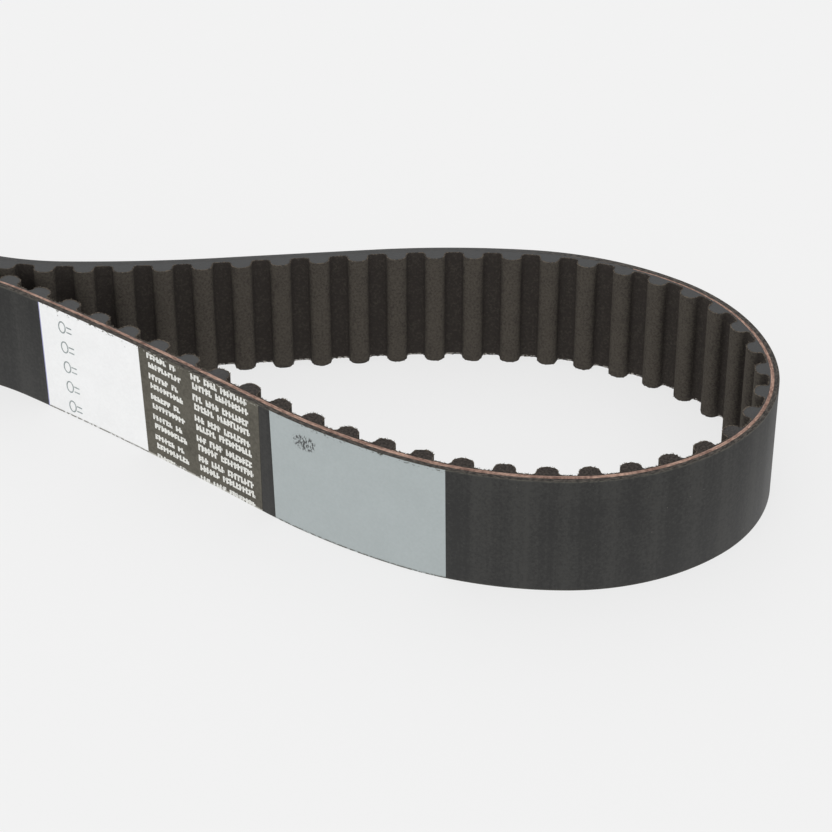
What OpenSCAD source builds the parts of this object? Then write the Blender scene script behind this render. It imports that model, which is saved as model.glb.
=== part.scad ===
// Toothed timing belt: an endless belt with rounded teeth on the inside, standing on one cut edge
// and lying in a loop with two round ends and a narrow waist.
//
// The belt is drawn as twelve short links that turn on the cord line, because the cord neither
// stretches nor shortens when the belt bends. Each link is built in the four layers of the real
// belt: back rubber, wound tensile cord, tooth rubber and the fabric that faces the teeth.
//
// Frame: +Z is up, the lower cut edge is at z = 0 and the origin is the middle of the loop.
// +X runs to the hinge at the tight end of the loop, between links 3 and 4.

/* [Belt] */

// Distance from one tooth to the next, measured along the cord line
tooth_pitch = 9.525; // [9.3:0.005:10.5]

// Width of the belt, from one cut edge to the other
belt_w = 30; // [10:0.5:60]

/* [Layers] */

// Thickness of the smooth rubber outside the cords
back_t = 1.1; // [0.6:0.05:1.6]

// Diameter of the wound tensile cord
cord_d = 1; // [0.6:0.05:1.2]

// Thickness of the tooth rubber between the teeth
land_t = 0.1; // [0.1:0.05:0.2]

// Thickness of the fabric that faces the teeth
facing_t = 0.25; // [0.15:0.05:0.3]

/* [Teeth] */

// Height of a tooth above the land beside it
tooth_h = 3.05; // [2.6:0.05:3.2]

// Width of a tooth above its root fillets
tooth_w = 5.1; // [4.2:0.1:6.2]

// Radius of the fillet at each side of a tooth's root
root_r = 0.85; // [0.4:0.05:1.1]

// How square the tooth's crown is: 2 is an ellipse and 4 is nearly a box
crown_squareness = 2.3; // [2:0.1:4]

/* [Loop at rest] */

// Degrees that the loop turns over each run of four teeth, from the first hinge round the tight
// end to the waist. One more run takes up what is left of half a turn.
run_turns = [-3, -2, 14, 26, 41.5, 55.5, 46, 31, 12, 0.5, -7]; // [-60:0.5:60]

/* [Flexing] */

// Degrees that the tight end opens when the loop is flexed to its limit
flex_max = 24; // [5:1:30]

// Clear gap between two links at the cord line
link_gap = 0.3; // [0.2:0.05:0.6]

/* [Printed panels] */

// Thickness of the printed film
film_t = 0.1; // [0.05:0.05:0.2]

// Start and end of the white panel, in teeth from the start of link 1
white_span = [0.75, 4.17]; // [0.1:0.01:7.97]

// Start and end of the dark data panel, in teeth from the start of link 1
data_span = [4.17, 7.97]; // [0.1:0.01:7.97]

// Start and end of the grey panel, in teeth from the start of link 1
grey_span = [8.48, 13.2]; // [8.1:0.01:15.9]

/* [Part] */

/* [Hidden] */

// Teeth in one run of constant curvature, and in one link of two runs
run_teeth = 4;
link_teeth = 2 * run_teeth;

// Links in the loop
links = 12;

// Points drawn for each tooth pitch along a smooth layer
steps_per_tooth = 4;

// Steps in a tooth's crown and in each root fillet
crown_steps = 14;
root_steps = 3;

// How each of the six hinges in half the loop flexes, as a share of the tight end's hinge: above
// zero it opens and below zero it bends further. They add up to zero, which keeps the loop closed.
flex_shares = [-0.25, 0.53, 1, 0.18, -0.52, -0.94];

// Distances from the cord line, positive towards the outside of the loop
back_face = cord_d / 2 + back_t;
cord_out = cord_d / 2;
cord_in = -cord_d / 2;
rubber_land = cord_in - land_t;
facing_land = rubber_land - facing_t;

function total(values, count) = count == 0 ? 0 : values[count - 1] + total(values, count - 1);

// The second half of the loop repeats the first, so the loop closes
half_turns = concat(run_turns, [180 - total(run_turns, len(run_turns))]);
turns = concat(half_turns, half_turns);
runs = len(turns);

run_len = run_teeth * tooth_pitch;

// A dead straight run is drawn as an arc too flat to notice
function run_turn(k) = turns[k] == 0 ? 0.001 : turns[k];
function run_radius(k) = run_len / (run_turn(k) * PI / 180);
function rotated(p, angle) = [
    p.x * cos(angle) - p.y * sin(angle),
    p.x * sin(angle) + p.y * cos(angle)
];

// Step from the start of a run to its end, when the belt enters it at the given heading
function run_step(k, heading) = run_radius(k) * [
    sin(heading + run_turn(k)) - sin(heading),
    cos(heading) - cos(heading + run_turn(k))
];
function loose_start(k) = k == 0 ? [0, 0] : loose_start(k - 1) + run_step(k - 1, total(turns, k - 1));

loose_starts = [for (k = [0 : runs]) loose_start(k)];
middle = (loose_starts[0] + loose_starts[runs / 2]) / 2;

// The third hinge, which is six runs along, is put on the X axis
tight_hinge = loose_starts[runs / 4] - middle;
lean = atan2(tight_hinge.y, tight_hinge.x);

headings = [for (k = [0 : runs]) total(turns, k) - lean];
starts = [for (p = loose_starts) rotated(p - middle, -lean)];

// Point that lies s teeth along the loop and d millimetres outside the cord line
function spot(s, d) =
    let (k = min(floor(s / run_teeth), runs - 1))
    let (into = headings[k])
    let (here = into + (s / run_teeth - k) * run_turn(k))
    let (r = run_radius(k))
    starts[k] + r * [-sin(into), cos(into)] + (r + d) * [sin(here), -cos(here)];

// Length cut off a layer at a hinge, so that two links stay clear at full flex. A hinge that opens
// closes up on the back, and one that bends further closes up on the toothed side.
function hinge_cut(hinge, d) =
    let (share = flex_shares[(hinge + 5) % 6])
    link_gap / 2 + tan(flex_max * abs(share) / 2) * max(0, share > 0 ? d : -d);

function layer_start(link, d) = link_teeth * (link - 1) + hinge_cut(link - 1, d) / tooth_pitch;
function layer_end(link, d) = link_teeth * link - hinge_cut(link, d) / tooth_pitch;

function reversed(points) = [for (i = [len(points) - 1 : -1 : 0]) points[i]];

// Points along one side of a smooth layer, with its inner points on a grid that all layers share
function side(from, to, d) =
    let (first = floor(from * steps_per_tooth + 1.1))
    let (last = ceil(to * steps_per_tooth - 1.1))
    concat(
        [spot(from, d)],
        [for (i = [first : last]) spot(i / steps_per_tooth, d)],
        [spot(to, d)]
    );

// Outline of one tooth, as [distance along the belt, height above the land]
function tooth_outline(half_w, fillet_r) =
    let (crown_h = tooth_h - fillet_r, power = 2 / crown_squareness)
    concat(
        [for (i = [0 : root_steps - 1])
            let (a = 90 * i / root_steps)
            [fillet_r * (sin(a) - 1) - half_w, fillet_r * (1 - cos(a))]],
        [for (i = [0 : crown_steps])
            let (a = 180 * i / crown_steps)
            [-sign(cos(a)) * half_w * pow(abs(cos(a)), power), fillet_r + crown_h * pow(sin(a), power)]],
        [for (i = [root_steps - 1 : -1 : 0])
            let (a = 90 * i / root_steps)
            [fillet_r * (1 - sin(a)) + half_w, fillet_r * (1 - cos(a))]]
    );

// Toothed side of a link: the land at the given depth, with a tooth in the middle of each pitch
function toothed_side(link, land, half_w, fillet_r) =
    let (first = link_teeth * (link - 1))
    let (outline = tooth_outline(half_w, fillet_r))
    concat(
        [spot(layer_start(link, facing_land), land)],
        [for (n = [0 : link_teeth - 1])
            each concat(
                n == 0 ? [] : [spot(first + n, land)],
                [for (p = outline) spot(first + n + 0.5 + p.x / tooth_pitch, land - p.y)]
            )],
        [spot(layer_end(link, facing_land), land)]
    );

function rubber_side(link) = toothed_side(link, rubber_land, tooth_w / 2 - facing_t, root_r + facing_t);
function facing_side(link) = toothed_side(link, facing_land, tooth_w / 2, root_r);

// Full-width layer between an outer and an inner side
module layer(outer, inner) {
    linear_extrude(belt_w)
        polygon(concat(outer, reversed(inner)));
}

// Smooth rubber outside the cords, which carries the printed panels
module back(link) {
    from = layer_start(link, back_face);
    to = layer_end(link, back_face);
    color([0.2, 0.2, 0.21])
        layer(side(from, to, back_face), side(from, to, cord_out));
}

// Tensile cords, wound side by side across the whole width and bedded in rubber
module cord(link) {
    from = max(layer_start(link, cord_out), layer_start(link, cord_in));
    to = min(layer_end(link, cord_out), layer_end(link, cord_in));
    color([0.6, 0.4, 0.32])
        layer(side(from, to, cord_out), side(from, to, cord_in));
}

// Rubber of the teeth, joined by a thin land
module teeth(link) {
    from = layer_start(link, facing_land);
    to = layer_end(link, facing_land);
    color([0.3, 0.3, 0.31])
        layer(side(from, to, cord_in), rubber_side(link));
}

// Woven fabric that follows the teeth and the lands between them
module facing(link) {
    color([0.2, 0.18, 0.16])
        layer(rubber_side(link), facing_side(link));
}

// Printed film on the back of the belt, over its whole width
module panel(span, shade) {
    color(shade)
        layer(side(span[0], span[1], back_face + film_t), side(span[0], span[1], back_face));
}

module white_panel() {
    panel(white_span, [0.94, 0.95, 0.96]);
}

module data_panel() {
    panel(data_span, [0.21, 0.2, 0.17]);
}

module grey_panel() {
    panel(grey_span, [0.65, 0.69, 0.7]);
}

function link_name(layer_name, link) = str(layer_name, "_", link < 10 ? "0" : "", link);

for (link = [1 : links]) {
    back(link);
    cord(link);
    teeth(link);
    facing(link);
}
white_panel();
data_panel();
grey_panel();
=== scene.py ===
"""A toothed timing belt that stands on its cut edge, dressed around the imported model.

Lengths are in metres and the frame is the part's own: +Z up, the floor at z = 0, the origin in the
middle of the loop and +X towards the round end beside the printed panels.

Every piece is built on the belt laid out straight, where x runs along the belt from the first
hinge, y runs from the cord line towards the teeth and z runs across the width. The piece is then
wrapped round the loop, and keeps its straight position as the attribute that its finish reads.
"""

from __future__ import annotations

import logging
import math
import random
from dataclasses import dataclass, field
from enum import Enum
from typing import Any, Sequence, Union

import bmesh
import bpy
from mathutils import Matrix, Vector

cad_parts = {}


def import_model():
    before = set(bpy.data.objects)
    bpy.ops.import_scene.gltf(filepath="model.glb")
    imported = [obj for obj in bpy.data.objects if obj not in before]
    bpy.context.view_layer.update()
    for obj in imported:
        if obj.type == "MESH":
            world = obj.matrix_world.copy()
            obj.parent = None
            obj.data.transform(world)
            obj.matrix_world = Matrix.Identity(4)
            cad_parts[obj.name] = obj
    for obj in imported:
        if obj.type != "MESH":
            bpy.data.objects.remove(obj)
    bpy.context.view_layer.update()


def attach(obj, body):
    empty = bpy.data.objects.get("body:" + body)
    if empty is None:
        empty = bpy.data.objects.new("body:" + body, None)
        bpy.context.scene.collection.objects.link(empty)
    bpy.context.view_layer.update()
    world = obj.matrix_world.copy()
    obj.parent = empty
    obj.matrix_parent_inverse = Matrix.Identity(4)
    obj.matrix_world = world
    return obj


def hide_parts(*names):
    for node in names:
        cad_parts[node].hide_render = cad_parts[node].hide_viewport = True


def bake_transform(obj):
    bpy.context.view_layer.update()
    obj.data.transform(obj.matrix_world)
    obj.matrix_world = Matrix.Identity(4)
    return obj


LOG = logging.getLogger("timing_belt")
MM = 0.001
STRAIGHT = "straight"

Point = tuple[float, float]
Colour = tuple[float, float, float]


class Layer(Enum):
    """The four layers of the belt, by the name that their CAD nodes start with."""

    BACK = "back"
    CORD = "cord"
    TEETH = "teeth"
    FACING = "facing"


@dataclass(frozen=True)
class BeltSection:
    """Sizes across the belt, with depths measured from the cord line towards the teeth."""

    pitch: float = 9.525 * MM
    width: float = 30.0 * MM
    back_face: float = -1.6 * MM
    cord_radius: float = 0.5 * MM
    rubber_land: float = 0.6 * MM
    facing: float = 0.25 * MM
    tooth_height: float = 3.05 * MM
    tooth_half_width: float = 2.55 * MM
    root_radius: float = 0.85 * MM
    squareness: float = 2.3

    @property
    def facing_land(self) -> float:
        """Depth of the fabric's bare face between the teeth."""
        return self.rubber_land + self.facing


@dataclass
class Loop:
    """The cord line of the belt at rest: a closed chain of arcs, each over the same run of teeth.

    The second half of the chain repeats the first, which closes the loop.
    """

    section: BeltSection
    run_teeth: int = 4
    link_teeth: int = 8
    links: int = 12
    run_turns: tuple[float, ...] = (-3, -2, 14, 26, 41.5, 55.5, 46, 31, 12, 0.5, -7)
    turns: list[float] = field(init=False)
    starts: list[Vector] = field(init=False)
    headings: list[float] = field(init=False)

    def __post_init__(self) -> None:
        """Works out where each arc starts and its heading there."""
        half = [math.radians(turn) for turn in self.run_turns]
        half.append(math.pi - sum(half))
        self.turns = half + half
        starts = [Vector((0.0, 0.0))]
        headings = [0.0]
        for run, turn in enumerate(self.turns):
            radius = self.radius(run)
            before = headings[-1]
            after = before + turn
            step = Vector((math.sin(after) - math.sin(before), math.cos(before) - math.cos(after)))
            starts.append(starts[-1] + radius * step)
            headings.append(after)
        middle = (starts[0] + starts[len(half)]) / 2
        tight_hinge = starts[len(half) // 2] - middle
        lean = math.atan2(tight_hinge.y, tight_hinge.x)
        upright = Matrix.Rotation(-lean, 2)
        self.starts = [upright @ (start - middle) for start in starts]
        self.headings = [heading - lean for heading in headings]

    @property
    def teeth(self) -> int:
        """Number of teeth round the loop."""
        return self.link_teeth * self.links

    def radius(self, run: int) -> float:
        """Signed radius of a run's arc at the cord line."""
        return self.run_teeth * self.section.pitch / self.turns[run]

    def wrap(self, straight: Vector) -> Vector:
        """Moves a point of the straight belt onto the loop.

        Args:
            straight: Distance along the belt, depth towards the teeth and height.

        Returns:
            The point in the part's frame.
        """
        along = (straight.x / self.section.pitch) % self.teeth
        run = min(int(along // self.run_teeth), len(self.turns) - 1)
        into = self.headings[run]
        here = into + (along / self.run_teeth - run) * self.turns[run]
        radius = self.radius(run)
        start = self.starts[run]
        reach = radius - straight.y
        return Vector(
            (
                start.x - radius * math.sin(into) + reach * math.sin(here),
                start.y + radius * math.cos(into) - reach * math.cos(here),
                straight.z,
            )
        )


@dataclass(frozen=True)
class Span:
    """A stretch of belt that one piece of each layer covers.

    A span that crosses a hinge lies across the two links. The loop is open at one hinge line,
    where a span ends on each side and rides on its own link.
    """

    name: str
    first: int
    last: int
    links: tuple[str, ...]
    node: str

    @property
    def bends(self) -> bool:
        """Whether the span crosses a hinge."""
        return len(self.links) == 2


class SpanPlan:
    """Divides the loop into spans that run from the middle of one link to the middle of the next."""

    OPEN_HINGE = 10
    MARGIN_TEETH = 0.7

    def __init__(self, loop: Loop) -> None:
        """Lists the spans of a loop.

        Args:
            loop: The loop to divide.
        """
        self.loop = loop
        self.spans: list[Span] = []
        half = loop.link_teeth // 2
        for hinge in range(1, loop.links + 1):
            line = hinge * loop.link_teeth
            here = f"{hinge:02d}"
            following = f"{hinge % loop.links + 1:02d}"
            if hinge == self.OPEN_HINGE:
                self.spans.append(Span(f"{here}a", line - half, line, (f"link_{here}",), here))
                self.spans.append(Span(f"{here}b", line, line + half, (f"link_{following}",), following))
                continue
            node = here if hinge < self.OPEN_HINGE else following if hinge < loop.links else here
            links = (f"link_{here}", f"link_{following}")
            self.spans.append(Span(here, line - half, line + half, links, node))

    def holding(self, teeth: float) -> Span:
        """The span that a place on the belt lies in.

        Args:
            teeth: The place, in teeth from the first hinge.

        Returns:
            The span.
        """
        for span in self.spans:
            if span.first <= teeth < span.last:
                return span
        return self.holding(teeth + self.loop.teeth)

    def attach(self, piece: bpy.types.Object, span: Span) -> None:
        """Makes a piece ride on its span's link; on a span that crosses a hinge the piece is only baked in
        place.

        Args:
            piece: The piece to attach.
            span: The span that it lies on.
        """
        if not span.bends:
            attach(piece, span.links[0])
            return
        pitch = self.loop.section.pitch
        start = self.loop.wrap(Vector(((span.first + self.MARGIN_TEETH) * pitch, 0, 0)))
        end = self.loop.wrap(Vector(((span.last - self.MARGIN_TEETH) * pitch, 0, 0)))
        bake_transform(piece)


class StraightMesh:
    """A mesh under construction on the straight belt."""

    SMOOTH_ANGLE = math.radians(40)

    def __init__(self) -> None:
        """Starts an empty mesh."""
        self.bm = bmesh.new()

    def chain(self, points: Sequence[Point], height: float) -> list[bmesh.types.BMEdge]:
        """Draws an open line of edges at one height.

        Args:
            points: Places along the belt and depths.
            height: Height across the belt's width.

        Returns:
            The edges, in order.
        """
        verts = [self.bm.verts.new((x, y, height)) for x, y in points]
        return [self.bm.edges.new(pair) for pair in zip(verts, verts[1:])]

    def layer(self, outer: Sequence[Point], inner: Sequence[Point], heights: Sequence[float]) -> None:
        """Builds a closed layer between two lines.

        Args:
            outer: The line on the outside of the loop, as places along the belt and depths.
            inner: The line on the inside.
            heights: Heights across the width at which the layer has a row of vertices, lowest first.
        """
        edges = self.chain(outer, heights[0]) + self.chain(inner, heights[0])
        faces = bmesh.ops.bridge_loops(self.bm, edges=edges)["faces"]
        for low, high in zip(heights, heights[1:]):
            made = bmesh.ops.extrude_face_region(self.bm, geom=faces)["geom"]
            verts = [item for item in made if isinstance(item, bmesh.types.BMVert)]
            faces = [item for item in made if isinstance(item, bmesh.types.BMFace)]
            bmesh.ops.translate(self.bm, verts=verts, vec=(0, 0, high - low))
        bmesh.ops.recalc_face_normals(self.bm, faces=self.bm.faces[:])

    def round_rims(self, size: float, width: float, depth: float) -> None:
        """Bevels the two long edges where the cut edges meet the face at one depth.

        Args:
            size: Size of the bevel.
            width: Width of the belt.
            depth: Depth of the face.
        """
        tiny = 0.01 * MM
        rims = [
            edge
            for edge in self.bm.edges
            if all(abs(vert.co.y - depth) < tiny for vert in edge.verts)
            and (
                all(abs(vert.co.z) < tiny for vert in edge.verts)
                or all(abs(vert.co.z - width) < tiny for vert in edge.verts)
            )
        ]
        bmesh.ops.bevel(
            self.bm,
            geom=rims,
            offset=size,
            offset_type="OFFSET",
            segments=2,
            profile=0.5,
            affect="EDGES",
            material=-1,
        )

    def finish(self, name: str, loop: Loop, finish: Finish) -> bpy.types.Object:
        """Wraps the mesh round the loop and makes it an object.

        Args:
            name: Name of the object.
            loop: The loop to wrap it round.
            finish: The finish to dress it in.

        Returns:
            The object, which sits at the origin.
        """
        self.bm.verts.ensure_lookup_table()
        straight = [vert.co.copy() for vert in self.bm.verts]
        for vert in self.bm.verts:
            vert.co = loop.wrap(vert.co)
        self.bm.normal_update()
        for face in self.bm.faces:
            face.smooth = True
        for edge in self.bm.edges:
            edge.smooth = edge.is_manifold and edge.calc_face_angle(0.0) < self.SMOOTH_ANGLE
        mesh = bpy.data.meshes.new(name)
        self.bm.to_mesh(mesh)
        self.bm.free()
        attribute = mesh.attributes.new(STRAIGHT, "FLOAT_VECTOR", "POINT")
        attribute.data.foreach_set("vector", [part for place in straight for part in place])
        mesh.materials.append(finish.material())
        piece = bpy.data.objects.new(name, mesh)
        bpy.context.scene.collection.objects.link(piece)
        return piece


class Signal:
    """A shader value that can be used in a Python expression."""

    def __init__(self, graph: Graph, socket: bpy.types.NodeSocket) -> None:
        """Holds one output socket of a graph."""
        self.graph = graph
        self.socket = socket

    def __add__(self, other: Term) -> Signal:
        """Adds."""
        return self.graph.maths("ADD", self, other)

    def __radd__(self, other: Term) -> Signal:
        """Adds, from the right."""
        return self.graph.maths("ADD", other, self)

    def __sub__(self, other: Term) -> Signal:
        """Subtracts."""
        return self.graph.maths("SUBTRACT", self, other)

    def __rsub__(self, other: Term) -> Signal:
        """Subtracts from the other value."""
        return self.graph.maths("SUBTRACT", other, self)

    def __mul__(self, other: Term) -> Signal:
        """Multiplies."""
        return self.graph.maths("MULTIPLY", self, other)

    def __rmul__(self, other: Term) -> Signal:
        """Multiplies, from the right."""
        return self.graph.maths("MULTIPLY", other, self)

    def __truediv__(self, other: Term) -> Signal:
        """Divides."""
        return self.graph.maths("DIVIDE", self, other)

    def magnitude(self) -> Signal:
        """The value without its sign."""
        return self.graph.maths("ABSOLUTE", self)

    def cosine(self) -> Signal:
        """The cosine of the value in radians."""
        return self.graph.maths("COSINE", self)

    def above(self, edge: Term, blur: float) -> Signal:
        """A mask that rises from 0 to 1 where the value passes an edge, over twice the blur."""
        return self.graph.ramp(self, edge - blur, edge + blur)

    def below(self, edge: Term, blur: float) -> Signal:
        """A mask that falls from 1 to 0 where the value passes an edge, over twice the blur."""
        return 1 - self.above(edge, blur)


Term = Union[Signal, float, int]


class Graph:
    """The node graph of one material."""

    def __init__(self, name: str) -> None:
        """Starts a material that has only its output node.

        Args:
            name: The material's name.
        """
        self.material = bpy.data.materials.new(name)
        self.material.use_nodes = True
        self.tree = self.material.node_tree
        self.tree.nodes.clear()
        self.output = self.tree.nodes.new("ShaderNodeOutputMaterial")
        place = self.node("ShaderNodeAttribute", {"attribute_name": STRAIGHT}, {}).outputs["Vector"]
        scaled = self.node("ShaderNodeVectorMath", {"operation": "SCALE"}, {0: place, "Scale": 1 / MM})
        self.place = scaled.outputs[0]
        split = self.node("ShaderNodeSeparateXYZ", {}, {0: self.place})
        self.along = Signal(self, split.outputs["X"])
        self.depth = Signal(self, split.outputs["Y"])
        self.height = Signal(self, split.outputs["Z"])

    def node(self, kind: str, settings: dict[str, Any], inputs: dict[Any, Any]) -> bpy.types.Node:
        """Adds a node.

        Args:
            kind: The node's type.
            settings: Its properties, which are set first.
            inputs: Values, signals or sockets for its inputs, by name or number.

        Returns:
            The node.
        """
        made = self.tree.nodes.new(kind)
        for key, value in settings.items():
            setattr(made, key, value)
        for key, value in inputs.items():
            if isinstance(value, Signal):
                self.tree.links.new(value.socket, made.inputs[key])
            elif isinstance(value, bpy.types.NodeSocket):
                self.tree.links.new(value, made.inputs[key])
            else:
                made.inputs[key].default_value = value
        return made

    def maths(self, operation: str, *terms: Term) -> Signal:
        """Adds a Math node over one or two terms."""
        made = self.node("ShaderNodeMath", {"operation": operation}, dict(enumerate(terms)))
        return Signal(self, made.outputs[0])

    def ramp(self, value: Signal, low: Term, high: Term) -> Signal:
        """A smooth step from 0 at the low value to 1 at the high one."""
        made = self.node(
            "ShaderNodeMapRange",
            {"interpolation_type": "SMOOTHSTEP", "clamp": True},
            {"Value": value, "From Min": low, "From Max": high},
        )
        return Signal(self, made.outputs["Result"])

    def stretched(self, along: float, depth: float, height: float) -> bpy.types.NodeSocket:
        """The straight position in millimetres, scaled on each axis."""
        made = self.node(
            "ShaderNodeVectorMath", {"operation": "MULTIPLY"}, {0: self.place, 1: (along, depth, height)}
        )
        return made.outputs[0]

    def noise(self, where: bpy.types.NodeSocket, scale: float, detail: float = 2.0) -> Signal:
        """Cloudy noise from 0 to 1, with about a half in the middle."""
        made = self.node(
            "ShaderNodeTexNoise", {}, {"Vector": where, "Scale": scale, "Detail": detail, "Roughness": 0.6}
        )
        return Signal(self, made.outputs["Fac"])

    def specks(self, cell: float, size: float, share: float) -> Signal:
        """A mask of round specks.

        Args:
            cell: Distance between the places where a speck may be, in millimetres.
            size: Radius of a speck, in millimetres.
            share: Share of those places that have one.

        Returns:
            The mask.
        """
        made = self.node("ShaderNodeTexVoronoi", {}, {"Vector": self.place, "Scale": 1 / cell})
        near = Signal(self, made.outputs["Distance"]).below(size / cell, 0.4 * size / cell)
        lot = self.node("ShaderNodeSeparateColor", {}, {0: made.outputs["Color"]}).outputs[0]
        return near * Signal(self, lot).below(share, 0.01)

    def blend(self, mask: Term, first: Any, second: Any) -> bpy.types.NodeSocket:
        """A colour between two others."""
        made = self.node("ShaderNodeMix", {"data_type": "RGBA"}, {0: mask, 6: rgba(first), 7: rgba(second)})
        return made.outputs[2]

    def bump(self, height: Signal, strength: float, distance: float) -> bpy.types.NodeSocket:
        """A surface normal that follows a height in parts of a distance in metres."""
        made = self.node(
            "ShaderNodeBump", {}, {"Strength": strength, "Distance": distance, "Height": height}
        )
        return made.outputs["Normal"]

    def surface(self, inputs: dict[str, Any]) -> bpy.types.Material:
        """Ends the graph with a Principled shader.

        Args:
            inputs: Values, signals or sockets for the shader's inputs.

        Returns:
            The material.
        """
        shader = self.node("ShaderNodeBsdfPrincipled", {}, inputs)
        self.tree.links.new(shader.outputs[0], self.output.inputs["Surface"])
        return self.material


def rgba(colour: Any) -> Any:
    """A colour with an alpha of 1, or the socket it was given."""
    return (*colour, 1.0) if isinstance(colour, tuple) else colour


@dataclass(frozen=True)
class Finish:
    """A finish: the record's material slot it belongs to, and how it is painted."""

    slot: str

    @property
    def label(self) -> str:
        """The material's name, which is the class's own in plain words."""
        name = type(self).__name__
        words = "".join(f"_{letter.lower()}" if letter.isupper() else letter for letter in name)
        return f"painted{words}"

    def material(self) -> bpy.types.Material:
        """The finish's material, painted once and then shared."""
        known = bpy.data.materials.get(self.label)
        return known or self.paint(Graph(self.label))

    def paint(self, graph: Graph) -> bpy.types.Material:
        """Paints the finish.

        Args:
            graph: The material's graph, which has only its output node.

        Returns:
            The material.
        """
        raise NotImplementedError


def cut_edge(graph: Graph, width: float, blur: float = 0.01) -> Signal:
    """A mask of the two cut edges, where the belt was sawn to width."""
    middle = width / MM / 2
    return (graph.height - middle).magnitude().above(middle - 0.02, blur)


def rim(graph: Graph, width: float, reach: float) -> Signal:
    """A mask that fades in over the last part of the width beside both cut edges."""
    middle = width / MM / 2
    return graph.ramp((graph.height - middle).magnitude(), middle - reach, middle)


@dataclass(frozen=True)
class BackRubber(Finish):
    """Smooth dark rubber with faint bands over the teeth, dust and a worn rim, partly a painted highlight."""

    slot: str = "back_rubber"
    width: float = 30 * MM
    pitch: float = 9.525
    base: Colour = (0.019, 0.0187, 0.018)
    band: Colour = (0.037, 0.0365, 0.034)
    sawn: Colour = (0.02, 0.017, 0.0145)
    sawn_light: Colour = (0.09, 0.077, 0.065)
    smooth_cut: Colour = (0.052, 0.053, 0.054)
    smooth_from: float = 300.0
    smooth_to: float = 820.0
    worn: Colour = (0.1, 0.097, 0.078)
    dust: Colour = (0.16, 0.155, 0.13)

    def paint(self, graph: Graph) -> bpy.types.Material:
        """Paints the finish.

        Args:
            graph: The material's graph, which has only its output node.

        Returns:
            The material.
        """
        cloud = graph.noise(graph.place, 0.06)
        grain = graph.noise(graph.place, 1.5, 4.0)
        wave = (graph.along * (2 * math.pi / self.pitch)).cosine()
        drawn = graph.noise(graph.stretched(0.7, 0.0, 0.012), 1.0, 4.0)
        bands = graph.ramp(wave * 0.14 + cloud * 0.8 + grain * 1.4 + drawn * 0.8, 1.1, 1.95)
        colour = graph.blend(bands, self.base, self.band)
        colour = graph.blend(graph.specks(3.0, 0.1, 0.3) * 0.7, colour, self.dust)
        colour = graph.blend(graph.specks(1.1, 0.06, 0.3) * 0.4, colour, self.dust)
        streaks = graph.noise(graph.stretched(0.8, 2.2, 2.2), 1.0, 4.0)
        edge = cut_edge(graph, self.width)
        sawn = graph.blend(streaks.above(0.52, 0.12), self.sawn, self.sawn_light)
        smooth = graph.along.above(self.smooth_from, 20) * graph.along.below(self.smooth_to, 20)
        colour = graph.blend(edge, colour, graph.blend(smooth * 0.8, sawn, self.smooth_cut))
        # Worn rim, partly a painted highlight: a pale ragged line on the back face beside both cut edges.
        ragged = graph.noise(graph.stretched(1.2, 1.0, 1.0), 1.0, 3.0)
        line = rim(graph, self.width, 0.5) * (1 - edge) * ragged.above(0.45, 0.25)
        colour = graph.blend(line * 0.75, colour, self.worn)
        relief = grain * 0.8 + streaks * edge * 2 + wave * 0.15
        return graph.surface(
            {
                "Base Color": colour,
                "Roughness": 0.48 + 0.12 * cloud + 0.2 * edge,
                "Specular IOR Level": 0.3,
                "Normal": graph.bump(relief, 0.3, 0.05 * MM),
            }
        )


@dataclass(frozen=True)
class ToothRubber(Finish):
    """Tooth rubber, which shows only where the cut edges went through it.

    The saw left it smooth at some teeth and tore it rough at others.
    """

    slot: str = "tooth_rubber"
    smooth: Colour = (0.034, 0.035, 0.036)
    streak: Colour = (0.069, 0.069, 0.069)
    torn: Colour = (0.024, 0.02, 0.018)
    fluff: Colour = (0.066, 0.056, 0.049)
    torn_from: float = 66.0
    torn_to: float = 196.0

    def paint(self, graph: Graph) -> bpy.types.Material:
        """Paints the finish.

        Args:
            graph: The material's graph, which has only its output node.

        Returns:
            The material.
        """
        streaks = graph.noise(graph.stretched(0.6, 4.0, 1.0), 1.0, 4.0)
        grain = graph.noise(graph.place, 1.8, 4.0)
        middle = (self.torn_from + self.torn_to) / 2
        reach = (self.torn_to - self.torn_from) / 2
        torn = (graph.along - middle).magnitude().below(reach, 12.0)
        sawn = graph.blend(streaks * 0.6 + grain * 0.4, self.smooth, self.streak)
        rough = graph.blend(grain.above(0.52, 0.16), self.torn, self.fluff)
        return graph.surface(
            {
                "Base Color": graph.blend(torn, sawn, rough),
                "Roughness": 0.5 + 0.4 * torn,
                "Specular IOR Level": 0.15,
                "Normal": graph.bump(streaks + grain * (1 + torn), 0.5, 0.12 * MM),
            }
        )


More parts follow.
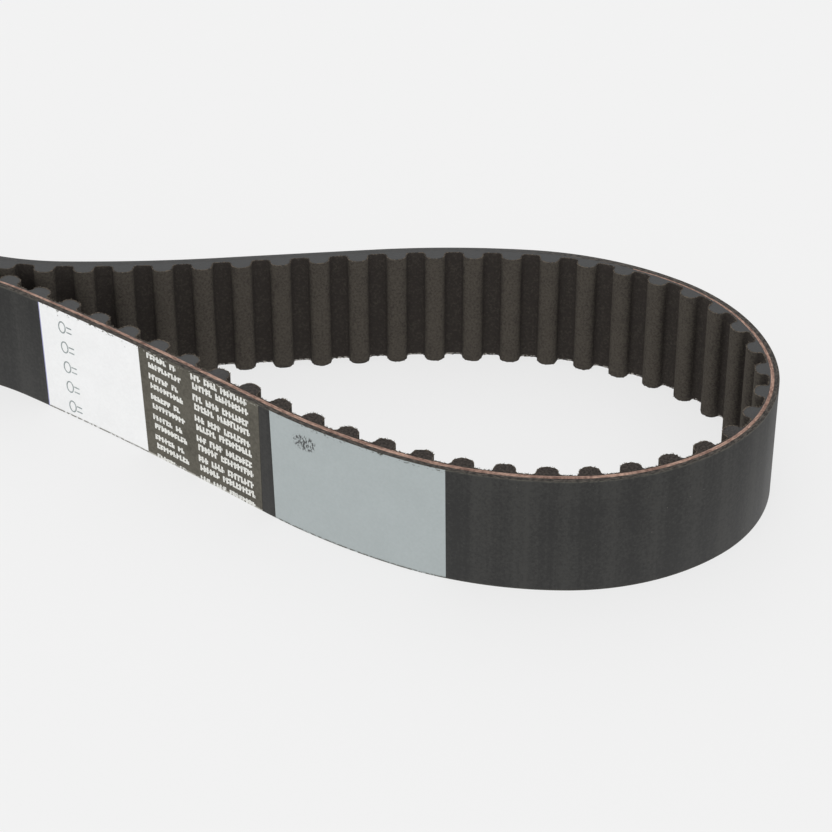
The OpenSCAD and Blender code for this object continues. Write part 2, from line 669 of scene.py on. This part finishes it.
@dataclass(frozen=True)
class FacingFabric(Finish):
    """Brown-black woven fabric with a short nap, paler where its cut edge frays."""

    slot: str = "facing_fabric"
    width: float = 30 * MM
    land: float = 0.85
    crown: float = 3.7
    # The tone runs from dark to light; the painted shade below takes the lands towards dark and the crowns
    # towards light.
    dark: Colour = (0.042, 0.0365, 0.033)
    light: Colour = (0.088, 0.078, 0.065)
    frayed: Colour = (0.15, 0.125, 0.1)
    fringe: Colour = (0.5, 0.47, 0.43)

    def paint(self, graph: Graph) -> bpy.types.Material:
        """Paints the finish.

        Args:
            graph: The material's graph, which has only its output node.

        Returns:
            The material.
        """
        nap = graph.noise(graph.place, 1.8, 4.0)
        cloud = graph.noise(graph.place, 0.2)
        thread = (graph.height * 9.0 + nap * 3).cosine() * (graph.along * 11.0 + nap * 3).cosine()
        # Painted shade: a ramp on depth that darkens the lands between the teeth and lightens the tooth
        # crowns.
        painted_depth_shade = graph.ramp(graph.depth, self.land, self.crown) * 0.26
        tone = graph.ramp(nap * 1.6 + cloud * 0.25 + painted_depth_shade * 1.5 + thread * 0.06, 0.8, 1.6)
        colour = graph.blend(tone, self.dark, self.light)
        edge = cut_edge(graph, self.width, 0.06)
        colour = graph.blend(edge * nap.above(0.46, 0.1) * 0.8, colour, self.frayed)
        lint = graph.noise(graph.place, 1.3, 3.0).above(0.5, 0.05)
        hem = graph.height.below(0.55, 0.15) * graph.depth.below(self.land + 0.4, 0.2) * lint
        colour = graph.blend(hem, colour, self.fringe)
        return graph.surface(
            {
                "Base Color": colour,
                "Roughness": 0.9 + 0.08 * nap,
                "Specular IOR Level": 0.05,
                "Normal": graph.bump(nap + thread * 0.15, 0.7, 0.2 * MM),
            }
        )


@dataclass(frozen=True)
class TensileCord(Finish):
    """Copper-brown treated cord: twisted bundles of glass fibre, cut open along the belt's edges."""

    slot: str = "tensile_cord"
    deep: Colour = (0.13, 0.068, 0.05)
    pale: Colour = (0.52, 0.335, 0.26)

    def paint(self, graph: Graph) -> bpy.types.Material:
        """Paints the finish.

        Args:
            graph: The material's graph, which has only its output node.

        Returns:
            The material.
        """
        fibres = graph.noise(graph.stretched(0.8, 3.0, 3.0), 1.0, 4.0)
        clumps = graph.noise(graph.stretched(0.12, 0.5, 0.5), 1.0, 2.0)
        colour = graph.blend(graph.ramp(fibres * 0.7 + clumps * 0.45, 0.42, 0.78), self.deep, self.pale)
        return graph.surface(
            {
                "Base Color": colour,
                "Roughness": 0.6 + 0.2 * fibres,
                "Specular IOR Level": 0.3,
                "Normal": graph.bump(fibres, 0.6, 0.1 * MM),
            }
        )


@dataclass(frozen=True)
class EdgeFibre(Finish):
    """Loose fibre that stands out of the fabric's cut edge."""

    slot: str = "facing_fabric"
    dark: Colour = (0.05, 0.042, 0.035)
    light: Colour = (0.24, 0.2, 0.16)

    def paint(self, graph: Graph) -> bpy.types.Material:
        """Paints the finish.

        Args:
            graph: The material's graph, which has only its output node.

        Returns:
            The material.
        """
        tone = graph.noise(graph.place, 1.4)
        return graph.surface({"Base Color": graph.blend(tone, self.dark, self.light), "Roughness": 0.9})


@dataclass(frozen=True)
class PanelFilm(Finish):
    """Printed film on the back, chipped along its lower edge and flecked along the upper one."""

    slot: str = "white_ink"
    width: float = 30 * MM
    ink: Colour = (0.93, 0.935, 0.935)
    shade: Colour = (0.88, 0.885, 0.885)
    chipped: Colour = (0.1, 0.095, 0.07)
    matt: float = 0.5

    def paint(self, graph: Graph) -> bpy.types.Material:
        """Paints the finish.

        Args:
            graph: The material's graph, which has only its output node.

        Returns:
            The material.
        """
        cloud = graph.noise(graph.place, 0.12)
        fine = graph.noise(graph.place, 1.4, 4.0)
        colour = graph.blend(graph.ramp(cloud * 0.4 + fine * 0.6, 0.3, 0.7), self.ink, self.shade)
        chips = graph.noise(graph.stretched(1.1, 1.0, 2.5), 1.0, 3.0)
        low = graph.height.below(0.45, 0.25) * chips.above(0.44, 0.06)
        high = graph.height.above(self.width / MM - 0.7, 0.4) * chips.above(0.6, 0.03)
        colour = graph.blend(graph.maths("MAXIMUM", low, high), colour, self.chipped)
        colour = self.marks(graph, colour)
        return graph.surface(
            {
                "Base Color": colour,
                "Roughness": self.matt + 0.15 * fine,
                "Specular IOR Level": 0.3,
                "Normal": graph.bump(fine, 0.2, 0.03 * MM),
            }
        )

    def marks(self, graph: Graph, colour: Any) -> Any:
        """Adds what only this panel carries."""
        return colour


@dataclass(frozen=True)
class WhiteFilm(PanelFilm):
    """White film with a bluish left border and a few black specks."""

    slot: str = "white_ink"
    start: float = 7.24
    lean: float = 0.0175
    blue: Colour = (0.2, 0.2, 0.5)
    speck: Colour = (0.04, 0.04, 0.04)

    def marks(self, graph: Graph, colour: Any) -> Any:
        """Adds the border and the specks.

        Args:
            graph: The material's graph.
            colour: The film's colour so far.

        Returns:
            The colour with them.
        """
        across = graph.along + (graph.height - self.width / MM / 2) * self.lean
        colour = graph.blend(across.below(self.start + 0.25, 0.12) * 0.8, colour, self.blue)
        top = graph.height.above(28.3, 0.8)
        return graph.blend(graph.specks(1.2, 0.2, 0.2) * top, colour, self.speck)


@dataclass(frozen=True)
class DarkFilm(PanelFilm):
    """Olive-black film that carries the light dashes, rubbed through at its lower edge."""

    slot: str = "dark_ink"
    ink: Colour = (0.115, 0.106, 0.083)
    shade: Colour = (0.062, 0.056, 0.042)
    chipped: Colour = (0.5, 0.49, 0.44)


@dataclass(frozen=True)
class GreyFilm(PanelFilm):
    """Blue-grey film with a smudged stamp near its upper left corner."""

    slot: str = "grey_ink"
    ink: Colour = (0.41, 0.452, 0.455)
    shade: Colour = (0.38, 0.42, 0.422)
    chipped: Colour = (0.08, 0.08, 0.065)
    smudge: Colour = (0.05, 0.05, 0.05)
    smudge_along: float = 90.3
    smudge_height: float = 25.2

    def marks(self, graph: Graph, colour: Any) -> Any:
        """Adds the smudge.

        Args:
            graph: The material's graph.
            colour: The film's colour so far.

        Returns:
            The colour with it.
        """
        across = (graph.along - self.smudge_along) / 3.6
        up = (graph.height - self.smudge_height) / 2.3
        inside = (across * across + up * up).below(0.8, 0.3)
        blots = graph.noise(graph.stretched(2.2, 1.0, 1.1), 1.0, 3.0).above(0.51, 0.03)
        return graph.blend(inside * blots * 0.9, colour, self.smudge)


@dataclass(frozen=True)
class LightPrint(Finish):
    """Light ink of the dashes on the dark panel."""

    slot: str = "dark_ink"
    full: Colour = (0.84, 0.84, 0.8)
    thin: Colour = (0.55, 0.55, 0.5)

    def paint(self, graph: Graph) -> bpy.types.Material:
        """Paints the finish.

        Args:
            graph: The material's graph, which has only its output node.

        Returns:
            The material.
        """
        wear = graph.noise(graph.place, 1.8, 3.0)
        return graph.surface(
            {"Base Color": graph.blend(wear.above(0.6, 0.1), self.full, self.thin), "Roughness": 0.6}
        )


@dataclass(frozen=True)
class StampInk(Finish):
    """Grey ink of the marks stamped on the white panel."""

    slot: str = "white_ink"
    full: Colour = (0.24, 0.28, 0.28)
    thin: Colour = (0.42, 0.46, 0.46)

    def paint(self, graph: Graph) -> bpy.types.Material:
        """Paints the finish.

        Args:
            graph: The material's graph, which has only its output node.

        Returns:
            The material.
        """
        wear = graph.noise(graph.place, 1.1, 3.0)
        return graph.surface(
            {"Base Color": graph.blend(wear.above(0.5, 0.14), self.full, self.thin), "Roughness": 0.7}
        )


@dataclass(frozen=True)
class PaleFloor(Finish):
    """Plain pale floor, lit a little from below like a light table."""

    slot: str = ""
    colour: Colour = (0.155, 0.155, 0.155)
    glow: float = 0.73

    def paint(self, graph: Graph) -> bpy.types.Material:
        """Paints the finish.

        Args:
            graph: The material's graph, which has only its output node.

        Returns:
            The material.
        """
        return graph.surface(
            {
                "Base Color": rgba(self.colour),
                "Roughness": 0.9,
                "Specular IOR Level": 0.0,
                "Emission Color": (1.0, 1.0, 1.0, 1.0),
                "Emission Strength": self.glow,
            }
        )


@dataclass
class ToothForm:
    """The outline of the toothed side on the straight belt."""

    section: BeltSection
    crown_steps: int = 18
    root_steps: int = 4
    land_steps: int = 4

    def outline(self, inset: float) -> list[Point]:
        """One pitch of the toothed side, from the middle of a land up to just short of the next.

        Args:
            inset: Thickness of fabric taken off the bare outline, which gives the rubber's own.

        Returns:
            Places along the belt from the tooth's middle, and depths.
        """
        size = self.section
        half = size.tooth_half_width - inset
        root = size.root_radius + inset
        land = size.facing_land - inset
        crown = size.tooth_height - root
        power = 2 / size.squareness
        edge = half + root
        points: list[Point] = []
        for step in range(self.land_steps):
            points.append((-size.pitch / 2 + (size.pitch / 2 - edge) * step / self.land_steps, land))
        for step in range(self.root_steps):
            angle = math.pi / 2 * step / self.root_steps
            points.append((root * math.sin(angle) - edge, land + root * (1 - math.cos(angle))))
        for step in range(self.crown_steps // 2 + 1):
            angle = math.pi * step / self.crown_steps
            across = half * max(0.0, math.cos(angle)) ** power
            points.append((-across, land + root + crown * math.sin(angle) ** power))
        mirrored = [(-x, y) for x, y in reversed(points[1:-1])]
        return points + mirrored

    def side(self, first: int, last: int, inset: float) -> list[Point]:
        """The toothed side over a whole number of teeth.

        Args:
            first: Its first tooth.
            last: The tooth after its last one.
            inset: Thickness of fabric taken off the bare outline.

        Returns:
            Places along the belt, and depths.
        """
        pitch = self.section.pitch
        tooth = self.outline(inset)
        points = [((n + 0.5) * pitch + x, y) for n in range(first, last) for x, y in tooth]
        return points + [(last * pitch, self.section.facing_land - inset)]


@dataclass
class BeltBuilder:
    """Builds the belt's own layers, one piece of each for every span."""

    loop: Loop
    plan: SpanPlan
    seed: int = 7
    steps_per_tooth: int = 12
    rim_bevel: float = 0.12 * MM
    hem_rise: float = 0.6 * MM
    upper_ripple: float = 0.3 * MM
    fibres_per_tooth: int = 44
    low_fibres: float = 0.25
    fibre_length: tuple[float, float] = (0.12, 0.42)
    fibre_radii: tuple[float, float] = (0.06 * MM, 0.03 * MM)

    def __post_init__(self) -> None:
        """Takes the section and the tooth form from the loop."""
        self.section = self.loop.section
        self.form = ToothForm(self.section)

    def smooth_side(self, first: float, last: float, depth: float) -> list[Point]:
        """A side with no teeth, in even steps.

        Args:
            first: Its start, in teeth.
            last: Its end, in teeth.
            depth: Its depth towards the teeth.

        Returns:
            Places along the belt, and depths.
        """
        pitch = self.section.pitch
        count = max(2, round((last - first) * self.steps_per_tooth))
        return [((first + (last - first) * n / count) * pitch, depth) for n in range(count + 1)]

    def place(self, mesh: StraightMesh, layer: Layer, span: Span, finish: Finish) -> bpy.types.Object:
        """Finishes one layer's piece, puts it in place of its CAD node and attaches it.

        Args:
            mesh: The piece's mesh, still straight.
            layer: The layer that it belongs to.
            span: The span that it covers.
            finish: The finish to dress it in.

        Returns:
            The piece.
        """
        if not span.bends:
            self.ease_end(mesh, span)
        piece = mesh.finish(f"{layer.value}_run_{span.name}", self.loop, finish)
        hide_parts(f"{layer.value}_{span.node}")
        self.plan.attach(piece, span)
        return piece

    def ease_end(self, mesh: StraightMesh, span: Span) -> None:
        """Takes a sliver off the end at the open hinge, most on the back, where flexing closes it up.

        Args:
            mesh: The layer's mesh, still straight.
            span: The span that ends there.
        """
        line = self.plan.OPEN_HINGE * self.loop.link_teeth * self.section.pitch
        way = -1 if span.first * self.section.pitch < line - MM else 1
        for vert in mesh.bm.verts:
            if abs(vert.co.x - line) < 0.01 * MM:
                vert.co.x += way * (0.03 * MM + 0.055 * max(0.0, -vert.co.y))

    def back(self, span: Span) -> bpy.types.Object:
        """The smooth rubber outside the cord line, with worn rims.

        Args:
            span: The span to cover.

        Returns:
            The piece.
        """
        mesh = StraightMesh()
        outer = self.smooth_side(span.first, span.last, self.section.back_face)
        inner = self.smooth_side(span.first, span.last, 0.0)
        mesh.layer(outer, inner, [0.0, self.section.width])
        mesh.round_rims(self.rim_bevel, self.section.width, self.section.back_face)
        return self.place(mesh, Layer.BACK, span, BackRubber())

    def teeth(self, span: Span) -> bpy.types.Object:
        """The rubber of the teeth, from the cord line to the fabric.

        Args:
            span: The span to cover.

        Returns:
            The piece.
        """
        mesh = StraightMesh()
        inner = self.form.side(span.first, span.last, self.section.facing)
        outer = [(x, 0.0) for x, _ in inner]
        mesh.layer(outer, inner, [0.0, self.section.width])
        return self.place(mesh, Layer.TEETH, span, ToothRubber())

    def facing(self, span: Span) -> bpy.types.Object:
        """The fabric over the teeth and lands, with ragged cut edges.

        Args:
            span: The span to cover.

        Returns:
            The piece.
        """
        mesh = StraightMesh()
        width = self.section.width
        outer = self.form.side(span.first, span.last, self.section.facing)
        inner = self.form.side(span.first, span.last, 0.0)
        near = [0.0, 0.35 * MM, 1.2 * MM]
        heights = near + [width / 2] + [width - height for height in reversed(near)]
        mesh.layer(outer, inner, heights)
        chance = random.Random(f"facing {span.name} {self.seed}")
        ends = (span.first * self.section.pitch, span.last * self.section.pitch)
        for vert in mesh.bm.verts:
            if min(abs(vert.co.x - end) for end in ends) < 0.01 * MM:
                continue
            if vert.co.z < 0.1 * MM:
                vert.co.z += self.hem_rise * chance.random() ** 1.5
            elif vert.co.z > width - 0.1 * MM:
                vert.co.z += self.upper_ripple * (chance.random() - 0.5)
        return self.place(mesh, Layer.FACING, span, FacingFabric())

    def cord(self, span: Span) -> bpy.types.Object:
        """The turns of the two cords, which lie side by side and slope gently across the width.

        Args:
            span: The span to cover.

        Returns:
            The piece.
        """
        winding = CordWinding(self.loop)
        mesh = winding.turns(span.first, span.last)
        return self.place(mesh, Layer.CORD, span, TensileCord())

    def fibres(self, span: Span) -> bpy.types.Object:
        """Loose fibres along the fabric's upper cut edge, and a few along the lower one.

        Args:
            span: The span to cover.

        Returns:
            The piece.
        """
        mesh = StraightMesh()
        chance = random.Random(f"fibres {span.name} {self.seed}")
        route = self.form.side(span.first, span.last, 0.05 * MM)
        for _ in range(self.fibres_per_tooth * (span.last - span.first)):
            index = chance.randrange(1, len(route) - 2)
            x, y = route[index]
            low = chance.random() < self.low_fibres
            root = Vector((x, y, 0.3 * MM if low else self.section.width - 0.02 * MM))
            sideways, inwards = chance.uniform(-1, 1), chance.uniform(0.0, 1.2)
            lean = Vector((sideways, inwards, 0.0 if low else chance.uniform(0.2, 1)))
            length = chance.uniform(*self.fibre_length) * MM
            turn = lean.to_track_quat("Z", "X").to_matrix().to_4x4()
            middle = root + lean.normalized() * length / 2
            bmesh.ops.create_cone(
                mesh.bm,
                cap_ends=True,
                segments=3,
                radius1=self.fibre_radii[0],
                radius2=self.fibre_radii[1],
                depth=length,
                matrix=Matrix.Translation(middle) @ turn,
            )
        piece = mesh.finish(f"edge_fibres_{span.name}", self.loop, EdgeFibre())
        self.plan.attach(piece, span)
        return piece

    def build(self) -> None:
        """Builds every layer over every span."""
        for span in self.plan.spans:
            made = [self.back(span), self.cord(span), self.teeth(span), self.facing(span), self.fibres(span)]
            LOG.info("span %s: %s", span.name, ", ".join(piece.name for piece in made))


@dataclass
class CordWinding:
    """Two cords wound side by side, whose turns move one lead across the belt in each round."""

    loop: Loop
    lead: float = 2.8 * MM
    crossing: float = 13.0
    pair_gap: float = 1.05 * MM
    sides: int = 10
    proud: float = 0.025 * MM

    def turns(self, first: int, last: int) -> StraightMesh:
        """The turns over one stretch, cut off by the belt's two edges.

        Args:
            first: Start of the stretch, in teeth.
            last: End of the stretch, in teeth.

        Returns:
            The mesh on the straight belt.
        """
        section = self.loop.section
        mesh = StraightMesh()
        length = (last - first) * section.pitch
        middle = (first + last) / 2
        slope = self.lead / (self.loop.teeth * section.pitch)
        drop = self.lead * (self.around(middle) - self.crossing) / self.loop.teeth
        tilt = Matrix.Shear("XY", 4, (0.0, 0.0))
        tilt[2][0] = -slope
        top = section.width - drop + 2 * self.lead
        turns = math.ceil(top / self.lead) + 1
        for centre in [top - turn * self.lead - gap for turn in range(turns) for gap in (0.0, self.pair_gap)]:
            if -section.cord_radius < centre < section.width + section.cord_radius:
                bmesh.ops.create_cone(
                    mesh.bm,
                    cap_ends=True,
                    segments=self.sides,
                    radius1=section.cord_radius,
                    radius2=section.cord_radius,
                    depth=length,
                    matrix=Matrix.Translation((middle * section.pitch, 0, centre))
                    @ tilt
                    @ Matrix.Rotation(math.pi / 2, 4, "Y"),
                )
        self.divide(mesh, length, (last - first) * 4)
        self.trim(mesh, section.width + self.proud, 1)
        self.trim(mesh, -self.proud * 0.2, -1)
        bmesh.ops.recalc_face_normals(mesh.bm, faces=mesh.bm.faces[:])
        return mesh

    def around(self, teeth: float) -> float:
        """A place on the loop counted from the first hinge, so that the helix closes at the waist."""
        return teeth if teeth < self.loop.teeth - self.loop.link_teeth / 2 + 0.1 else teeth - self.loop.teeth

    @staticmethod
    def divide(mesh: StraightMesh, length: float, parts: int) -> None:
        """Cuts the long edges of every turn into equal parts, so that they can follow the loop."""
        long_edges = [edge for edge in mesh.bm.edges if edge.calc_length() > length / 2]
        bmesh.ops.subdivide_edges(mesh.bm, edges=long_edges, cuts=parts - 1, use_grid_fill=True)

    @staticmethod
    def trim(mesh: StraightMesh, height: float, way: int) -> None:
        """Cuts off what lies beyond a height and closes the cuts.

        Args:
            mesh: The mesh to cut.
            height: Height of the cut across the width.
            way: 1 to take off what is above it, -1 to take off what is below.
        """
        cut = bmesh.ops.bisect_plane(
            mesh.bm,
            geom=mesh.bm.verts[:] + mesh.bm.edges[:] + mesh.bm.faces[:],
            dist=0.001 * MM,
            plane_co=(0, 0, height),
            plane_no=(0, 0, way),
            clear_outer=True,
        )
        open_edges = [
            item for item in cut["geom_cut"] if isinstance(item, bmesh.types.BMEdge) and item.is_boundary
        ]
        if open_edges:
            bmesh.ops.edgeloop_fill(mesh.bm, edges=open_edges)


@dataclass(frozen=True)
class Edge:
    """End of a panel: its place in teeth, and how much further along it is at the bottom than the top."""

    at: float
    lean: float = 0.0


@dataclass(frozen=True)
class Words:
    """A line of print: the number of marks in each group, their height and their spacing."""

    counts: tuple[int, ...]
    height: float
    step: float = 1.04 * MM


@dataclass
class PanelPrinter:
    """Prints the three panels, and the marks on them, on the back of the belt."""

    loop: Loop
    plan: SpanPlan
    builder: BeltBuilder
    film: float = 0.05 * MM
    ink: float = 0.025 * MM
    seed: int = 11
    print_stroke: float = 0.5 * MM
    print_top: float = 28.7 * MM
    print_row_step: float = 5.66 * MM
    print_line_step: float = 2.5 * MM
    stamp_rows: int = 5
    stamp_step: float = 5.58 * MM
    stamp_drift: float = 0.035
    stamp_radius: float = 1.7 * MM
    stamp_line: float = 0.36 * MM

    def attach(self, piece: bpy.types.Object, teeth: float, node: str) -> None:
        """Attaches a print to the span it lies on, in place of a CAD node."""
        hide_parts(node)
        self.plan.attach(piece, self.plan.holding(teeth))

    def panel(self, name: str, edges: tuple[Edge, Edge], node: str, finish: Finish) -> None:
        """Lays a film over the full width between two edges, split where two spans meet.

        Args:
            name: Name of the panel.
            edges: Its two ends.
            node: The CAD node that it replaces.
            finish: Its finish.
        """
        half = self.loop.link_teeth // 2
        first, last = edges
        joints = [n for n in range(-half, self.loop.teeth, self.loop.link_teeth) if first.at < n < last.at]
        stops = [first, *(Edge(joint) for joint in joints), last]
        section = self.loop.section
        margin = 0.1 * MM
        for number, (start, end) in enumerate(zip(stops, stops[1:]), 1):
            mesh = StraightMesh()
            outer = self.builder.smooth_side(start.at, end.at, section.back_face - self.film)
            inner = self.builder.smooth_side(start.at, end.at, section.back_face)
            mesh.layer(outer, inner, [margin, section.width - margin])
            for vert in mesh.bm.verts:
                for edge in (start, end):
                    if abs(vert.co.x - edge.at * section.pitch) < 0.01 * MM:
                        vert.co.x += edge.lean * section.pitch * (0.5 - vert.co.z / section.width)
            label = name if len(stops) == 2 else f"{name}_{number}"
            piece = mesh.finish(label, self.loop, finish)
            self.attach(piece, (start.at + end.at) / 2, node)
            LOG.info("panel %s over teeth %.2f to %.2f", label, start.at, end.at)

    def bar(self, mesh: StraightMesh, middle: Point, size: Point) -> None:
        """Adds one printed bar to the outside of a film.

        Args:
            mesh: The mesh that takes it.
            middle: Its middle, along the belt and up.
            size: Its length along the belt and its height.
        """
        depth = self.loop.section.back_face - self.film - self.ink / 2
        place = Matrix.Translation((middle[0], depth, middle[1]))
        scale = Matrix.Diagonal((size[0], self.ink, size[1], 1.0))
        bmesh.ops.create_cube(mesh.bm, size=1.0, matrix=place @ scale)

    def line(
        self, mesh: StraightMesh, chance: random.Random, start: Point, words: Words, slope: float
    ) -> None:
        """Adds a line of marks in groups, in place of words. Each mark is an upright bar and a side bar.

        Args:
            mesh: The mesh that takes them.
            chance: The source of their variety.
            start: Middle of the line's left end, along the belt and up.
            words: Number of marks in each group.
            slope: Rise of the line over its length.
        """
        x, z = start
        stroke = self.print_stroke
        for count in words.counts:
            for _ in range(count):
                low = max(0.15 * MM, z - words.height / 2)
                high = z + words.height / 2 + chance.uniform(-0.1, 0.1) * MM
                self.bar(mesh, (x, (low + high) / 2), (stroke, high - low))
                side = low + stroke / 2 + (high - low - stroke) * chance.choice((0.0, 0.35, 0.65, 1.0))
                self.bar(mesh, (x + 0.4 * words.step, side), (0.55 * words.step, stroke))
                if chance.random() < 0.75:
                    side = low + stroke / 2 + (high - low - stroke) * chance.choice((0.2, 0.5, 0.8))
                    self.bar(mesh, (x + 0.4 * words.step, side), (0.5 * words.step, stroke * 0.9))
                x += words.step
                z += words.step * slope
            x += words.step
            z += words.step * slope

    def data_print(self) -> None:
        """Prints two columns of marks on the dark panel, in pairs of lines down to the lower edge."""
        mesh = StraightMesh()
        chance = random.Random(self.seed)
        pitch = self.loop.section.pitch
        columns = (
            (4.42, -0.045, (Words((6, 2), 1.5 * MM), Words((10,), 1.5 * MM))),
            (5.89, 0.0, (Words((3, 4, 8), 1.75 * MM), Words((6, 10), 1.75 * MM))),
        )
        for row in range(6):
            for start, slope, lines in columns:
                for number, words in enumerate(lines):
                    z = self.print_top - row * self.print_row_step - number * self.print_line_step
                    if z < 0.3 * MM:
                        continue
                    x = (start + 0.03 * row + 0.04 * number) * pitch
                    self.line(mesh, chance, (x, z), words, slope)
        piece = mesh.finish("data_print", self.loop, LightPrint())
        self.attach(piece, 6, "data_panel")
        LOG.info("data print: %d bars", len(piece.data.polygons) // 6)

    def stamp_marks(self) -> None:
        """Stamps a column of thin rings with two bars beside each on the white panel."""
        mesh = StraightMesh()
        pitch = self.loop.section.pitch
        depth = self.loop.section.back_face - self.film - self.ink
        for row in range(self.stamp_rows):
            x = (1.5 + self.stamp_drift * row) * pitch
            z = 25.4 * MM - row * self.stamp_step
            place = Matrix.Translation((x, depth, z)) @ Matrix.Rotation(math.pi / 2, 4, "X")
            disc = bmesh.ops.create_circle(
                mesh.bm,
                cap_ends=True,
                segments=24,
                radius=self.stamp_radius,
                matrix=place @ Matrix.Diagonal((0.72, 1.0, 1.0, 1.0)),
            )
            faces = list({face for vert in disc["verts"] for face in vert.link_faces})
            bmesh.ops.inset_region(mesh.bm, faces=faces, thickness=self.stamp_line, use_boundary=True)
            bmesh.ops.delete(mesh.bm, geom=faces, context="FACES")
        bmesh.ops.solidify(mesh.bm, geom=mesh.bm.faces[:], thickness=self.ink * 0.8)
        for row in range(self.stamp_rows):
            x = (1.73 + self.stamp_drift * row) * pitch
            z = 25.2 * MM - row * self.stamp_step
            for rise in (0.7 * MM, -0.7 * MM):
                self.bar(mesh, (x, z + rise), (self.stamp_radius, self.stamp_line))
        bmesh.ops.recalc_face_normals(mesh.bm, faces=mesh.bm.faces[:])
        piece = mesh.finish("stamp_marks", self.loop, StampInk())
        self.attach(piece, 1.6, "white_panel")
        LOG.info("stamp marks: %d faces", len(piece.data.polygons))

    def build(self) -> None:
        """Prints everything."""
        self.panel("white_film", (Edge(0.76, 0.055), Edge(4.17, 0.12)), "white_panel", WhiteFilm())
        self.panel("dark_film", (Edge(4.17, 0.12), Edge(8.09)), "data_panel", DarkFilm())
        self.panel("grey_film", (Edge(8.48, 0.08), Edge(13.2, 0.03)), "grey_panel", GreyFilm())
        self.data_print()
        self.stamp_marks()


@dataclass
class Studio:
    """Pale floor, soft light and the camera."""

    floor_size: float = 6.0
    camera_place: tuple[float, float, float] = (0.22584, -0.52155, 0.37262)
    camera_target: tuple[float, float, float] = (0.11026, 0.00171, 0.0)
    camera_roll: float = math.radians(-0.12)
    sensor: float = 36.0
    lens: float = 115.95
    sky: float = 0.93
    softbox_size: float = 1.0
    softbox_power: float = 2.5

    def floor(self) -> None:
        """Lays the floor."""
        bm = bmesh.new()
        bmesh.ops.create_grid(bm, x_segments=8, y_segments=8, size=self.floor_size / 2)
        mesh = bpy.data.meshes.new("floor")
        bm.to_mesh(mesh)
        bm.free()
        mesh.materials.append(PaleFloor().material())
        plane = bpy.data.objects.new("floor", mesh)
        plane.location.z = -0.02 * MM
        bpy.context.scene.collection.objects.link(plane)

    def sky_light(self) -> None:
        """Lights the scene evenly from all round."""
        world = bpy.data.worlds.new("soft_room")
        world.use_nodes = True
        background = world.node_tree.nodes["Background"]
        background.inputs["Color"].default_value = (1.0, 1.0, 1.0, 1.0)
        background.inputs["Strength"].default_value = self.sky
        bpy.context.scene.world = world

    def softbox(self, name: str, place: Vector, aim: Vector) -> None:
        """Hangs a square soft light.

        Args:
            name: Name of the light.
            place: Where it hangs.
            aim: The point that it faces.
        """
        lamp = bpy.data.lights.new(name, "AREA")
        lamp.shape = "SQUARE"
        lamp.size = self.softbox_size
        lamp.energy = self.softbox_power
        light = bpy.data.objects.new(name, lamp)
        light.location = place
        light.rotation_euler = (aim - place).to_track_quat("-Z", "Y").to_euler()
        bpy.context.scene.collection.objects.link(light)

    def camera(self) -> None:
        """Sets the camera."""
        data = bpy.data.cameras.new("camera")
        data.lens = self.lens
        data.sensor_width = self.sensor
        data.clip_start = 0.01
        camera = bpy.data.objects.new("camera", data)
        place = Vector(self.camera_place)
        aim = (Vector(self.camera_target) - place).to_track_quat("-Z", "Y").to_matrix().to_4x4()
        camera.matrix_world = Matrix.Translation(place) @ aim @ Matrix.Rotation(self.camera_roll, 4, "Z")
        bpy.context.scene.collection.objects.link(camera)
        bpy.context.scene.camera = camera

    def build(self) -> None:
        """Sets up the whole studio."""
        self.floor()
        self.sky_light()
        middle = Vector((0.1, 0.0, 0.0))
        self.softbox("front_softbox", Vector((-0.3, -1.3, 0.9)), middle)
        self.softbox("rear_softbox", Vector((-0.3, 1.3, 1.0)), middle)
        self.camera()
        bpy.context.scene.view_settings.view_transform = "Standard"


def main() -> None:
    """Builds the belt in order, and reports each piece."""
    logging.basicConfig(level=logging.INFO, format="%(name)s: %(message)s")
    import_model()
    loop = Loop(BeltSection())
    plan = SpanPlan(loop)
    Studio().build()
    builder = BeltBuilder(loop, plan)
    builder.build()
    PanelPrinter(loop, plan, builder).build()


if __name__ == "__main__":
    main()
